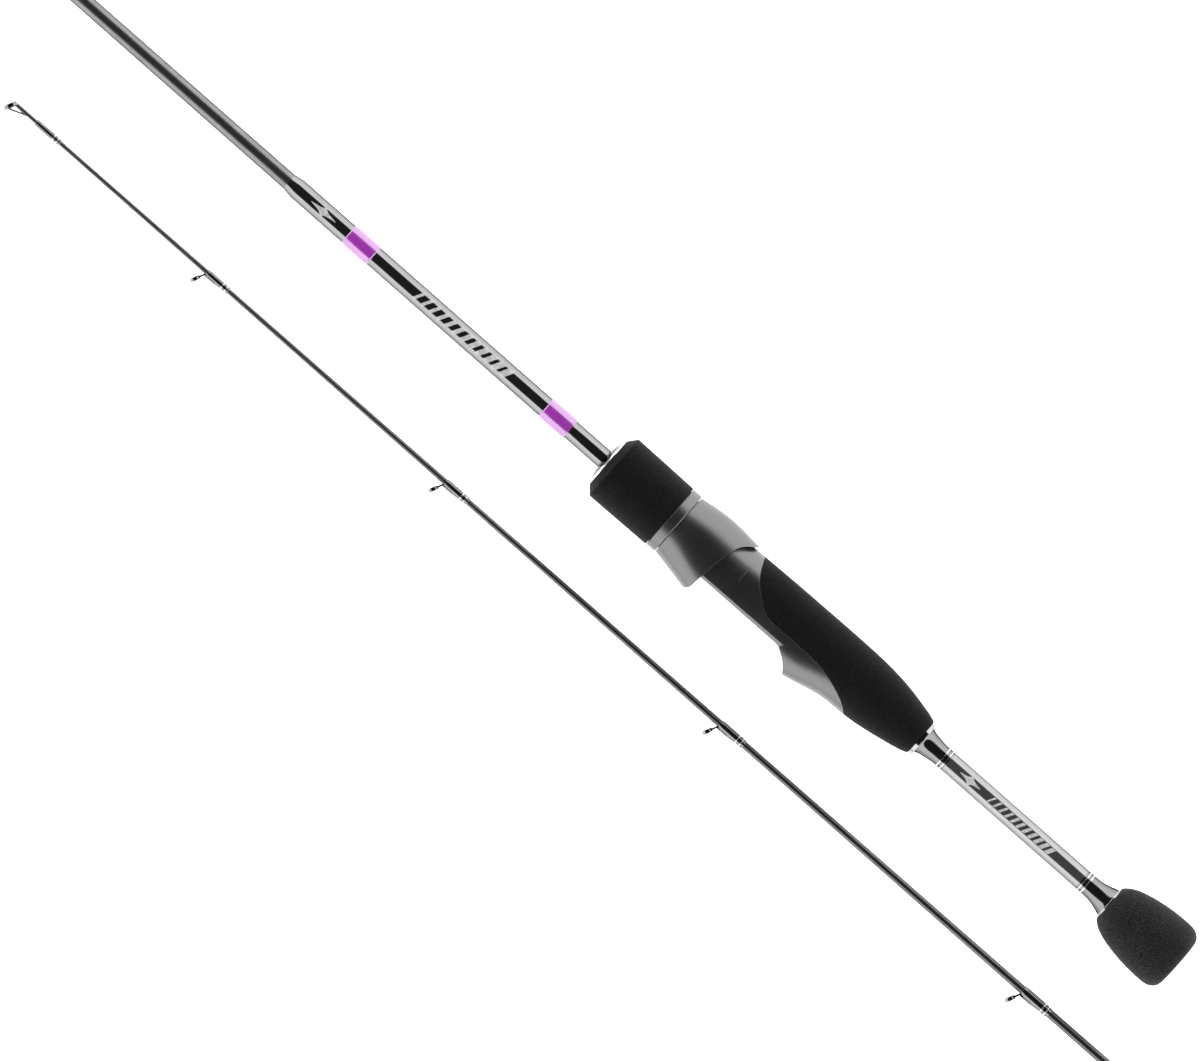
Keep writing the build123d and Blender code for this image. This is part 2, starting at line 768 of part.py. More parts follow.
with BuildPart() as stripper_frame:
    add(stripper_holder.part)
    for piece in (*stripper_legs, *stripper_feet):
        add(piece.part)
    with BuildSketch(stripper_place):
        Circle(STRIPPER_SEAT_R)
    extrude(amount=3, both=True, mode=Mode.SUBTRACT)
    add(butt_core.part, mode=Mode.SUBTRACT)
stripper_frame.part.label = "stripper_frame"
export_step(stripper_frame.part, "parts/stripper_frame.step")

stripper_ring = hoop(stripper_place, STRIPPER_HOLE_R, STRIPPER_SEAT_R, 2.1)
stripper_ring.part.label = "stripper_ring"
export_step(stripper_ring.part, "parts/stripper_ring.step")

with BuildPart() as stripper_wraps:
    for root, far in STRIPPER_FEET:
        behind = math.copysign(STRIPPER_WRAP_SPARE, far - root)
        add(wrap_form(BUTT, radius_at(BUTT_OUTLINE, max(root, far)), root, far + behind, 1.9).part)
    add(butt_core.part, mode=Mode.SUBTRACT)
    add(stripper_frame.part, mode=Mode.SUBTRACT)
stripper_wraps.part.label = "stripper_wraps"
export_step(stripper_wraps.part, "parts/stripper_wraps.step")

stripper_seats = []
for root, far in STRIPPER_FEET:
    behind = math.copysign(STRIPPER_WRAP_SPARE, far - root)
    stripper_seats += band_seats(radius_at(BUTT_OUTLINE, max(root, far)), root, far + behind)
stripper_bands = bands(BUTT, stripper_seats)
stripper_bands.part.label = "stripper_bands"
export_step(stripper_bands.part, "parts/stripper_bands.step")

# ---------------------------------------------------------------- ferrule
# A short wrap where the socket stops on the butt section.
STOP_START = SECTION_LENGTH - FERRULE_LENGTH - 15.0
STOP_END = SECTION_LENGTH - FERRULE_LENGTH - 2.0
STOP_R = radius_at(BUTT_OUTLINE, STOP_START) + 0.38
ferrule_stop_wrap = turned(
    BUTT,
    [
        (STOP_START, radius_at(BUTT_OUTLINE, STOP_START)),
        (STOP_START + 1.2, STOP_R),
        (STOP_END - 0.8, STOP_R),
        (STOP_END, STOP_R - 0.3),
        (STOP_END, radius_at(BUTT_OUTLINE, STOP_END)),
    ],
)
ferrule_stop_wrap.part.label = "ferrule_stop_wrap"
export_step(ferrule_stop_wrap.part, "parts/ferrule_stop_wrap.step")

ferrule_stop_bands = bands(BUTT, [(STOP_START + 1.6, STOP_R), (STOP_START + 1.6 + BAND_SPACING, STOP_R)])
ferrule_stop_bands.part.label = "ferrule_stop_bands"
export_step(ferrule_stop_bands.part, "parts/ferrule_stop_bands.step")

with BuildPart() as tip_blank:
    add(tip_core.part)
    with BuildSketch(TIP):
        with BuildLine():
            Polyline(
                (MOUTH_X - 1, 0),
                (MOUTH_X - 1, SOCKET_R),
                (MOUTH_X + FERRULE_LENGTH, SOCKET_R),
                (MOUTH_X + FERRULE_LENGTH + 1.0, 1.45),
                (36.2, 0.7),
                (180.7, 0.4),
                (180.7, 0),
                close=True,
            )
        make_face()
    revolve(axis=along(TIP), mode=Mode.SUBTRACT)
tip_blank.part.label = "tip_blank"
export_step(tip_blank.part, "parts/tip_blank.step")

SOCKET_WRAP_R = 3.52
socket_wrap = turned(
    TIP,
    [
        (MOUTH_X + 0.5, radius_at(TIP_OUTLINE, MOUTH_X + 0.5)),
        (MOUTH_X + 0.5, SOCKET_WRAP_R - 0.25),
        (MOUTH_X + 1.2, SOCKET_WRAP_R),
        (MOUTH_X + FERRULE_LENGTH - 3.0, SOCKET_WRAP_R),
        (MOUTH_X + FERRULE_LENGTH - 1.0, radius_at(TIP_OUTLINE, MOUTH_X + FERRULE_LENGTH - 1.0)),
    ],
)
socket_wrap.part.label = "socket_wrap"
export_step(socket_wrap.part, "parts/socket_wrap.step")

socket_bands = bands(
    TIP,
    [
        (MOUTH_X + 2.4, SOCKET_WRAP_R),
        (MOUTH_X + 2.4 + BAND_SPACING, SOCKET_WRAP_R),
        (MOUTH_X + FERRULE_LENGTH - 4.0 - BAND_SPACING, SOCKET_WRAP_R),
        (MOUTH_X + FERRULE_LENGTH - 4.0, SOCKET_WRAP_R),
    ],
)
socket_bands.part.label = "socket_bands"
export_step(socket_bands.part, "parts/socket_bands.step")

# ---------------------------------------------------------------- tip-top
# A short tube over the blank's end, a tilted ring at its tip and two braces from the tube to the ring.
TUBE_R = 0.9
TUBE_END = BLANK_TIP + 0.6
TOP_RING_R = 2.6
TOP_SEAT_R = 2.1
TOP_HOLE_R = 1.65
TOP_DEPTH = 1.6
TOP_LEAN = 66.0
top_place = ring_plane(TIP, 515.75, 1.65, TOP_LEAN)
top_holder = hoop(top_place, TOP_SEAT_R, TOP_RING_R, TOP_DEPTH)
top_tube = turned(
    TIP,
    [
        (TUBE_START, TIP_SEAT_R),
        (BLANK_TIP, TIP_SEAT_R),
        (BLANK_TIP, 0),
        (TUBE_END, 0),
        (TUBE_END, TIP_SEAT_R),
        (TUBE_END - 0.3, TUBE_R),
        (TUBE_START, TUBE_R),
    ],
)
top_braces = []
BRACE_CIRCLE = TOP_RING_R - 0.1
BRACE_ANGLE = math.radians(42)
for side in (-1, 1):
    on_ring = top_place.from_local_coords(
        (BRACE_CIRCLE * math.cos(BRACE_ANGLE), side * BRACE_CIRCLE * math.sin(BRACE_ANGLE), 0.1)
    )
    start = (508.9, TIP_Y + 0.45, TIP_Z + side * 0.35)
    top_braces.append(strut(start, tuple(on_ring), 0.38))
with BuildPart() as tip_top_frame:
    add(top_holder.part)
    add(top_tube.part)
    for brace in top_braces:
        add(brace.part)
    with BuildSketch(top_place):
        Circle(TOP_SEAT_R)
    extrude(amount=TOP_DEPTH / 2 + 0.1, both=True, mode=Mode.SUBTRACT)
    add(tip_core.part, mode=Mode.SUBTRACT)
tip_top_frame.part.label = "tip_top_frame"
export_step(tip_top_frame.part, "parts/tip_top_frame.step")

tip_top_ring = hoop(top_place, TOP_HOLE_R, TOP_SEAT_R, TOP_DEPTH + 0.15)
tip_top_ring.part.label = "tip_top_ring"
export_step(tip_top_ring.part, "parts/tip_top_ring.step")

TOP_WRAP_R = 1.18
tip_top_wrap_start = 493.4
tip_top_wrap_end = 505.1
tip_top_wrap = turned(
    TIP,
    [
        (tip_top_wrap_start, radius_at(TIP_OUTLINE, tip_top_wrap_start)),
        (tip_top_wrap_start + 0.9, TOP_WRAP_R),
        (tip_top_wrap_end - 0.5, TOP_WRAP_R),
        (tip_top_wrap_end, TUBE_R + 0.1),
        (tip_top_wrap_end, TUBE_R),
        (TUBE_START, TUBE_R),
        (TUBE_START, TIP_R),
    ],
)
tip_top_wrap.part.label = "tip_top_wrap"
export_step(tip_top_wrap.part, "parts/tip_top_wrap.step")

tip_top_bands = bands(TIP, [(494.9, TOP_WRAP_R), (496.6, TOP_WRAP_R)])
tip_top_bands.part.label = "tip_top_bands"
export_step(tip_top_bands.part, "parts/tip_top_bands.step")
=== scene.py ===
import json
import math

import bpy
import numpy as np
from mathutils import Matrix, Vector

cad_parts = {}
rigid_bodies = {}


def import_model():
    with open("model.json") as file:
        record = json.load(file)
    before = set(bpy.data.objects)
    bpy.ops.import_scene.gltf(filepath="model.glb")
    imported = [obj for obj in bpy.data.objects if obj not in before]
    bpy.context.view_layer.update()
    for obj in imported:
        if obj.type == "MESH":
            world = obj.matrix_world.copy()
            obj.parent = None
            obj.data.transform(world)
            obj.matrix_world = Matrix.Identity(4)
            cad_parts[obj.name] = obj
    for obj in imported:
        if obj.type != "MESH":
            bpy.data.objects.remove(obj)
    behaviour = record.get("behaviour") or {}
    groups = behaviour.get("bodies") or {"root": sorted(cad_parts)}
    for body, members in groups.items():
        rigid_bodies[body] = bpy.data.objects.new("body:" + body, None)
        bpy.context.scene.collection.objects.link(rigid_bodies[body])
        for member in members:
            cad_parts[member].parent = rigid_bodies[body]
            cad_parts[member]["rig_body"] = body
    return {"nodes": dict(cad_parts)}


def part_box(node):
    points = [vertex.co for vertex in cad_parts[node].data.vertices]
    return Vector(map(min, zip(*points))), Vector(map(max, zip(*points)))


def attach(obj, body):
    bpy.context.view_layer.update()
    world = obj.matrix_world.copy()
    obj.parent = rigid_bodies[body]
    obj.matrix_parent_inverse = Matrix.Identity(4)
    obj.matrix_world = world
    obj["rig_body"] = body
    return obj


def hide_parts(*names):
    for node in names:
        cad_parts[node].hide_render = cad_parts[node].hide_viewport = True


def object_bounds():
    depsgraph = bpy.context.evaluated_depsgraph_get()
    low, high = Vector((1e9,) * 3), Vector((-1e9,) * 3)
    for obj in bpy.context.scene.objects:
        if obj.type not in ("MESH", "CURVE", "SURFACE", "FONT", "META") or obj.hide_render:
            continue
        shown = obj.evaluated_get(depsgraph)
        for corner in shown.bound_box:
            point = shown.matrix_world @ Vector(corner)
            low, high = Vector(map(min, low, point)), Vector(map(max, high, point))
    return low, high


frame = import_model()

cad_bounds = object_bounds()

# A two-piece spinning rod lying on a pale floor, seen from straight above. Lengths below are millimetres
# and become metres where a mesh is made. The butt section's axis is the frame's X axis; the tip section
# lies beside it, with its own axis TIP_AXIS.
MM = 0.001


def box_mm(node):
    """Lowest and highest corner of a CAD node, in millimetres."""
    low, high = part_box(node)
    return low / MM, high / MM


BUTT_AXIS = (0.0, 0.0)
tip_low, tip_high = box_mm("tip_blank")
TIP_AXIS = ((tip_low.y + tip_high.y) / 2, (tip_low.z + tip_high.z) / 2)


# ---------------------------------------------------------------- material helpers
class Shader:
    """A material with one Principled shader, and short names for the nodes that feed it."""

    def __init__(self, name, **values):
        self.material = bpy.data.materials.new(name)
        self.material.use_nodes = True
        self.tree = self.material.node_tree
        self.principled = self.tree.nodes["Principled BSDF"]
        for socket, value in values.items():
            self.set(socket.replace("_", " "), value)

    def set(self, socket, value):
        """Gives an input of the shader a constant, a colour or another node's output."""
        wanted = {s.name.lower(): s for s in self.principled.inputs}[socket.lower()]
        if isinstance(value, bpy.types.NodeSocket):
            self.tree.links.new(value, wanted)
        elif isinstance(value, tuple):
            wanted.default_value = (*value, 1.0)
        else:
            wanted.default_value = value

    def node(self, kind, *inputs, **settings):
        """A node with its first inputs given in order; None leaves one as it is."""
        made = self.tree.nodes.new("ShaderNode" + kind)
        for key, value in settings.items():
            setattr(made, key, value)
        for socket, value in zip(made.inputs, inputs):
            if isinstance(value, bpy.types.NodeSocket):
                self.tree.links.new(value, socket)
            elif value is not None:
                socket.default_value = value
        return made

    def math(self, operation, a, b=None):
        return self.node("Math", a, b, operation=operation).outputs[0]

    def place(self):
        """Position on the object at rest, in millimetres."""
        coordinates = self.node("TexCoord").outputs["Object"]
        return self.node("VectorMath", coordinates, (1 / MM,) * 3, operation="MULTIPLY").outputs[0]

    def noise(self, place, scale, detail=2.0, roughness=0.5):
        made = self.node("TexNoise", noise_dimensions="3D")
        self.tree.links.new(place, made.inputs["Vector"])
        made.inputs["Scale"].default_value = scale
        made.inputs["Detail"].default_value = detail
        made.inputs["Roughness"].default_value = roughness
        return made.outputs[0]

    def ranged(self, value, low, high, to_low, to_high):
        """Maps low to high onto to_low to to_high, and no further."""
        return self.node("MapRange", value, low, high, to_low, to_high).outputs[0]

    def mixed(self, factor, a, b, clamp=True):
        """Mixes two colours; without clamp, a factor over 1 goes beyond b."""
        made = self.node("Mix", data_type="RGBA", clamp_factor=clamp)
        for socket, value in ((made.inputs[0], factor), (made.inputs[6], a), (made.inputs[7], b)):
            if isinstance(value, bpy.types.NodeSocket):
                self.tree.links.new(value, socket)
            elif isinstance(value, tuple):
                socket.default_value = (*value, 1.0)
            else:
                socket.default_value = value
        return made.outputs[2]

    def bump(self, height, distance, edge=None):
        """Relief, distance millimetres high, on the shader's normal; edge rounds sharp edges by so much."""
        made = self.node("Bump")
        made.inputs["Strength"].default_value = 1.0
        made.inputs["Distance"].default_value = distance * MM
        self.tree.links.new(height, made.inputs["Height"])
        if edge is not None:
            rounded = self.node("Bevel", edge * MM, samples=4)
            self.tree.links.new(rounded.outputs[0], made.inputs["Normal"])
        self.set("Normal", made.outputs[0])
        if "coat normal" in {s.name.lower() for s in self.principled.inputs}:
            self.set("Coat Normal", made.outputs[0])


def foam(name, tone):
    """Black EVA foam: a fine open grain with pale specks."""
    shader = Shader(name, specular_ior_level=0.09, sheen_weight=0.05, sheen_roughness=0.5)
    shader.set("Sheen Tint", (0.9, 0.9, 0.95))
    place = shader.place()
    grain = shader.noise(place, 1.9, 3.0, 0.65)
    specks = shader.noise(place, 3.1, 1.0)
    blotches = shader.noise(place, 0.12, 2.0)
    level = shader.ranged(grain, 0.3, 0.7, 0.1, 1.9)
    level = shader.math("MULTIPLY", level, shader.ranged(blotches, 0.3, 0.7, 0.88, 1.12))
    level = shader.math("ADD", level, shader.ranged(specks, 0.56, 0.74, 0.0, 3.6))
    shader.set("Base Color", shader.mixed(level, (0.0, 0.0, 0.0), (tone, tone, tone * 1.03), clamp=False))
    shader.set("Roughness", shader.ranged(grain, 0.3, 0.7, 0.88, 0.68))
    shader.bump(shader.math("ADD", grain, shader.math("MULTIPLY", specks, 0.5)), 0.16)
    return shader.material


def paint(name, tone, roughness):
    """Satin soft-touch paint on a moulding, with a very fine flake."""
    shader = Shader(name, ior=2.15)
    place = shader.place()
    flake = shader.noise(place, 9.0, 1.0)
    orange_peel = shader.noise(place, 0.9, 2.0)
    wear = shader.noise(place, 0.07, 3.0)
    shade = shader.ranged(flake, 0.3, 0.7, tone * 0.6, tone * 1.4)
    shader.set("Base Color", shader.node("CombineColor", shade, shade, shade).outputs[0])
    shader.set("Roughness", shader.ranged(wear, 0.3, 0.7, roughness - 0.03, roughness + 0.03))
    shader.bump(shader.math("ADD", shader.math("MULTIPLY", flake, 0.3), orange_peel), 0.012, edge=0.22)
    return shader.material


def lacquer(name, colour, metallic, roughness, thread_pitch, tint=(0.0, 0.0, 0.0)):
    """Glossy epoxy over graphite or thread, faintly wavy where it has levelled."""
    shader = Shader(name, metallic=metallic, specular_ior_level=0.0)
    place = shader.place()
    x = shader.node("SeparateXYZ", place).outputs[0]
    strand = shader.math("SINE", shader.math("MULTIPLY", x, 2 * math.pi / thread_pitch))
    cloud = shader.noise(place, 0.25, 3.0)
    waves = shader.noise(place, 0.16, 2.0)
    dark = tuple(c * 0.86 for c in colour)
    lively = shader.math("ADD", shader.math("MULTIPLY", strand, 0.25), cloud)
    shader.set("Base Color", shader.mixed(shader.ranged(lively, 0.15, 0.85, 0.0, 1.0), dark, colour))
    shader.set("Specular Tint", tint)
    shader.set("Roughness", shader.ranged(cloud, 0.3, 0.7, roughness * 0.85, roughness * 1.2))
    shader.bump(shader.math("ADD", waves, shader.math("MULTIPLY", strand, 0.004)), 0.03)
    return shader.material


def thread(name, colour, thread_pitch=0.22):
    """Coloured rod-building thread under a thick, hard clear coat."""
    shader = Shader(name, roughness=0.45, coat_weight=1.0)
    shader.set("Coat Roughness", 0.07)
    shader.set("Coat IOR", 2.4)
    place = shader.place()
    x = shader.node("SeparateXYZ", place).outputs[0]
    strand = shader.math("SINE", shader.math("MULTIPLY", x, 2 * math.pi / thread_pitch))
    cloud = shader.noise(place, 0.6, 3.0)
    dark = tuple(c * 0.72 for c in colour)
    lively = shader.math("ADD", shader.math("MULTIPLY", strand, 0.3), cloud)
    shader.set("Base Color", shader.mixed(shader.ranged(lively, 0.1, 0.9, 0.0, 1.0), dark, colour))
    shader.bump(shader.math("ADD", cloud, shader.math("MULTIPLY", strand, 0.15)), 0.012)
    return shader.material


def metal(name, colour, roughness, brushed_along=(1.0, 1.0, 1.0)):
    """Polished metal with faint handling marks; brushed_along stretches them."""
    shader = Shader(name, metallic=1.0)
    place = shader.place()
    stretched = shader.node("VectorMath", place, brushed_along, operation="MULTIPLY").outputs[0]
    marks = shader.noise(stretched, 1.6, 4.0, 0.7)
    smudge = shader.noise(place, 0.35, 2.0)
    shader.set("Base Color", shader.mixed(marks, tuple(c * 0.9 for c in colour), colour))
    shader.set("Roughness", shader.ranged(smudge, 0.3, 0.7, roughness * 0.7, roughness * 1.4))
    shader.bump(marks, 0.004)
    return shader.material


def foil(name):
    """Silver-grey print with a matt, slightly mottled face."""
    shader = Shader(name, specular_ior_level=0.6)
    place = shader.place()
    flakes = shader.noise(place, 6.0, 2.0, 0.6)
    worn = shader.noise(place, 0.8, 3.0)
    level = shader.math("ADD", shader.math("MULTIPLY", flakes, 0.5), shader.math("MULTIPLY", worn, 0.5))
    grey = shader.mixed(shader.ranged(level, 0.35, 0.65, 0.0, 1.0), (0.36, 0.36, 0.365), (0.68, 0.68, 0.69))
    shader.set("Base Color", grey)
    shader.set("Roughness", shader.ranged(worn, 0.3, 0.7, 0.3, 0.5))
    shader.bump(flakes, 0.004)
    return shader.material


def blackened_check(name, rim_end):
    """Black anodised dome, polished bright on its rim, which ends at x = rim_end."""
    shader = Shader(name, metallic=1.0)
    place = shader.place()
    x = shader.node("SeparateXYZ", place).outputs[0]
    marks = shader.noise(place, 1.4, 4.0, 0.7)
    black = shader.mixed(marks, (0.008, 0.008, 0.009), (0.02, 0.02, 0.021))
    bright = shader.mixed(marks, (0.78, 0.79, 0.8), (0.9, 0.91, 0.92))
    on_rim = shader.ranged(x, rim_end, rim_end + 0.08, 1.0, 0.0)
    shader.set("Base Color", shader.mixed(on_rim, black, bright))
    shader.set("Roughness", shader.ranged(marks, 0.3, 0.7, 0.1, 0.2))
    shader.bump(marks, 0.004)
    return shader.material


def ceramic(name):
    """Dense dark grey ceramic of a guide's ring, polished by the line."""
    shader = Shader(name, specular_ior_level=0.8, coat_weight=0.6)
    shader.set("Coat Roughness", 0.05)
    place = shader.place()
    grain = shader.noise(place, 5.0, 2.0)
    shader.set("Base Color", shader.mixed(grain, (0.02, 0.02, 0.022), (0.05, 0.05, 0.054)))
    shader.set("Roughness", shader.ranged(grain, 0.3, 0.7, 0.14, 0.24))
    return shader.material


def bare_graphite(name, darkest, lightest):
    """Unsanded graphite blank: satin, with streaks round it from the wrapping tape."""
    shader = Shader(name, metallic=0.97)
    place = shader.place()
    x = shader.node("SeparateXYZ", place).outputs[0]
    rings = shader.node("CombineXYZ", shader.math("MULTIPLY", x, 3.0), 0.0, 0.0).outputs[0]
    streaks = shader.noise(rings, 1.0, 3.0, 0.7)
    cloud = shader.noise(place, 0.3, 2.0)
    level = shader.math("ADD", shader.math("MULTIPLY", streaks, 0.6), shader.math("MULTIPLY", cloud, 0.4))
    grey = [(c, c, c * 1.03) for c in (darkest, lightest)]
    shader.set("Base Color", shader.mixed(shader.ranged(level, 0.3, 0.7, 0.0, 1.0), *grey))
    shader.set("Specular Tint", (0.0, 0.0, 0.0))
    shader.set("Roughness", shader.ranged(streaks, 0.3, 0.7, 0.26, 0.36))
    shader.bump(streaks, 0.01)
    return shader.material


def moulded(name):
    """Hard foam of the arbors inside the seat."""
    shader = Shader(name)
    place = shader.place()
    cells = shader.noise(place, 3.0, 2.0)
    shader.set("Base Color", shader.mixed(cells, (0.42, 0.37, 0.29), (0.62, 0.57, 0.47)))
    shader.set("Roughness", 0.8)
    shader.bump(cells, 0.08)
    return shader.material


CHECK_RIM_END = 271.45  # x where the check's flat rim turns into its dome

FOAM_KNOB = foam("knob_foam", 0.0115)
FOAM_GRIP = foam("grip_foam", 0.0028)
SEAT_PAINT = paint("seat_paint", 0.005, 0.33)
HOOD_PAINT = paint("hood_paint", 0.005, 0.33)
GRAPHITE = bare_graphite("graphite", 0.15, 0.23)
TIP_GRAPHITE = bare_graphite("tip_graphite", 0.1, 0.16)
REAR_LACQUER = lacquer("rear_lacquer", (0.33, 0.33, 0.335), 0.86, 0.09, 0.9)
COAT_LACQUER = lacquer("coat_lacquer", (0.27, 0.27, 0.275), 0.975, 0.09, 0.3)
WRAP_LACQUER = lacquer("wrap_lacquer", (0.21, 0.21, 0.215), 0.98, 0.09, 0.22)
PURPLE = thread("purple_thread", (0.43, 0.032, 0.5))
CHROME = metal("bright_trim", (0.36, 0.365, 0.37), 0.1)
CHECK_METAL = blackened_check("check_metal", CHECK_RIM_END)
SILVER = metal("silver_thread", (0.75, 0.75, 0.75), 0.2)
FOIL_SILVER = foil("foil_print")
GUIDE_METAL = metal("guide_steel", (0.24, 0.24, 0.245), 0.14, (1.0, 3.0, 3.0))
CERAMIC = ceramic("ring_ceramic")
ARBOR = moulded("arbor_foam")


# ---------------------------------------------------------------- turned pieces from the CAD outlines
def outlines_of(node, axis):
    """The closed outlines, lists of (x, r) in millimetres, that a turned CAD node was turned from.

    A turned face has an edge in the half-plane beside the axis on its +Y side; a flat face across the axis
    joins two ends of such edges at one x, and an end that has no partner runs to the axis.
    """
    mesh = frame["nodes"][node].data
    points = {}
    for vertex in mesh.vertices:
        x, y, z = vertex.co / MM
        if abs(z - axis[1]) < 0.0005 and y - axis[0] > 0:
            points[vertex.index] = (round(x, 3), round(y - axis[0], 3))
    links = {}
    for edge in mesh.edges:
        a, b = (points.get(v) for v in edge.vertices)
        if a and b and a != b:
            links.setdefault(a, set()).add(b)
            links.setdefault(b, set()).add(a)
    ends = {}
    for point, joined in links.items():
        if len(joined) == 1:
            ends.setdefault(point[0], []).append(point)
    for x, found in ends.items():
        found.sort(key=lambda p: p[1])
        if len(found) % 2:
            found.insert(0, (x, 0.0))
            links[(x, 0.0)] = set()
        for a, b in zip(found[::2], found[1::2]):
            links[a].add(b)
            links[b].add(a)
    on_axis = sorted(p for p in links if p[1] == 0.0)
    for a, b in zip(on_axis[::2], on_axis[1::2]):
        links[a].add(b)
        links[b].add(a)
    loops = []
    left = set(links)
    while left:
        here = min(left)
        loop = []
        while here in left:
            left.remove(here)
            loop.append(here)
            onward = [p for p in links[here] if p in left]
            here = min(onward) if onward else None
        loops.append(loop)
    return loops


def divided(loop, spacing, start=-math.inf, end=math.inf):
    """The outline with points no more than spacing apart where it lies between start and end."""
    made = []
    for (x0, r0), (x1, r1) in zip(loop, loop[1:] + loop[:1]):
        steps = 1
        if r0 + r1 > 0 and max(x0, x1) > start and min(x0, x1) < end:
            steps = max(1, math.ceil(math.hypot(x1 - x0, r1 - r0) / spacing))
        for step in range(steps):
            share = step / steps
            made.append((x0 + (x1 - x0) * share, r0 + (r1 - r0) * share))
    return made


def finished(name, vertices, faces, body, material, replaced=()):
    """A smooth-shaded piece, its vertices in millimetres, that rides on a body."""
    mesh = bpy.data.meshes.new(name)
    mesh.from_pydata((np.asarray(vertices, float) * MM).tolist(), [], faces)
    mesh.update()
    mesh.shade_smooth()
    mesh.set_sharp_from_angle(angle=math.radians(32))
    mesh.materials.append(material)
    piece = bpy.data.objects.new(name, mesh)
    bpy.context.scene.collection.objects.link(piece)
    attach(piece, body)
    if replaced:
        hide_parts(*replaced)


def turned(loops, axis, segments, relief=None):
    """Vertices and faces of outlines turned about an axis; relief(x, angle, r) is added to the radius.

    An outline that touches the axis starts and ends on it.
    """
    vertices = []
    faces = []
    here = np.arange(segments)
    after = (here + 1) % segments
    angles = here * 2 * math.pi / segments
    for loop in loops:
        ends = [x for x, r in loop if r == 0.0]
        x, r = np.array([p for p in loop if p[1] > 0.0]).T[:, :, None]
        area = sum(x0 * r1 - x1 * r0 for (x0, r0), (x1, r1) in zip(loop, loop[1:] + loop[:1]))
        radii = r + np.zeros(segments)
        if relief is not None:
            radii = radii + relief(x, angles, r)
        across = axis[0] + radii * np.cos(angles)
        up = axis[1] + radii * np.sin(angles)
        rings = np.stack([x + 0 * radii, across, up], axis=2)
        first = len(vertices)
        vertices.extend(rings.reshape(-1, 3).tolist())
        starts = first + np.arange(len(x)) * segments
        pairs = list(zip(starts, starts[1:]))
        if not ends:
            pairs.append((starts[-1], starts[0]))
        made = []
        for a, b in pairs:
            quads = np.stack([a + here, b + here, b + after, a + after], axis=1)
            made.extend(quads.tolist())
        if ends:
            for centre, ring, turn in ((min(ends), starts[0], 1), (max(ends), starts[-1], -1)):
                fan = np.stack([np.full(segments, len(vertices)), ring + here, ring + after], axis=1)
                made.extend(fan[:, ::turn].tolist())
                vertices.append((centre, axis[0], axis[1]))
        faces.extend([face[::-1] for face in made] if area < 0 else made)
    return vertices, faces


def body_of(node):
    return frame["nodes"][node]["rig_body"]


def axis_of(node):
    return TIP_AXIS if body_of(node) == "tip_section" else BUTT_AXIS


def returned(node, material, segments=96, spacing=math.inf, relief=None, start=-math.inf, end=math.inf):
    """A turned CAD node made again with a finer mesh and its own finish."""
    axis = axis_of(node)
    loops = [divided(loop, spacing, start, end) for loop in outlines_of(node, axis)]
    vertices, faces = turned(loops, axis, segments, relief)
    finished(node + "_shell", vertices, faces, body_of(node), material, (node,))


# ---------------------------------------------------------------- blanks
TAPE_HEIGHT = 0.028
TAPE_RIDGE = 0.2  # half width of a ridge
BUTT_TAPE_PITCH = 2.0
TIP_TAPE_PITCH = 1.7
TAPE_SPACING = 0.4  # between a bare blank's rings of points


def tape_ridges(pitch, start, end):
    """The raised helix that the wrapping tape leaves on a blank between two places."""

    def relief(x, angles, r):
        turns = x / pitch - angles / (2 * math.pi)
        away = (turns - np.round(turns)) * pitch
        ridge = TAPE_HEIGHT * np.exp(-((away / TAPE_RIDGE) ** 2))
        return np.where((x > start) & (x < end), ridge, 0.0)

    return relief


def bare_blank(node, material, segments, tape_pitch, start, end):
    """A blank with the tape's ridges on its bare stretch, from start to end."""
    returned(node, material, segments, TAPE_SPACING, tape_ridges(tape_pitch, start, end), start, end)


coat_low, coat_high = box_mm("overwrap_coat")
stop_low, _ = box_mm("ferrule_stop_wrap")
_, socket_high = box_mm("socket_wrap")

bare_blank("butt_blank", GRAPHITE, 64, BUTT_TAPE_PITCH, coat_high.x, stop_low.x)
bare_blank("tip_blank", TIP_GRAPHITE, 40, TIP_TAPE_PITCH, socket_high.x, tip_high.x)

# ---------------------------------------------------------------- foam
GRAIN_HEIGHT = 0.05
GRAIN_SIZE = 0.6
FOAM_SEGMENTS = 240
FOAM_SPACING = 0.35
HASH_DIRECTION = np.array((12.9898, 78.233, 37.719))
HASH_SCALE = 43758.5453


def lattice_noise(points):
    """Smooth fixed noise from -1 to 1 at points, one lump of it to each unit of length."""
    cell = np.floor(points)
    share = points - cell
    share = share * share * (3 - 2 * share)
    total = 0.0
    for corner in np.ndindex(2, 2, 2):
        wave = np.sin((cell + corner) @ HASH_DIRECTION) * HASH_SCALE
        weight = np.prod(np.where(corner, share, 1 - share), axis=-1)
        total = total + weight * (wave - np.floor(wave))
    return total * 2 - 1


def foam_grain(x, angles, r):
    """A shallow irregular relief, the size of the foam's cells."""
    points = np.stack([x + 0 * angles, r * np.cos(angles), r * np.sin(angles)], axis=2) / GRAIN_SIZE
    return GRAIN_HEIGHT * (lattice_noise(points) - 1) / 2


returned("butt_knob", FOAM_KNOB, FOAM_SEGMENTS, FOAM_SPACING, foam_grain)
returned("foregrip", FOAM_GRIP, FOAM_SEGMENTS, FOAM_SPACING, foam_grain)

# ---------------------------------------------------------------- trims, wraps and bands
RIM_EDGE = 0.12  # broken edge of a bright trim ring
BAND_HALF_WIDTH = 0.17
BAND_EDGE = 0.03
BAND_SUNK = 0.02  # how far a band's bore lies under the epoxy


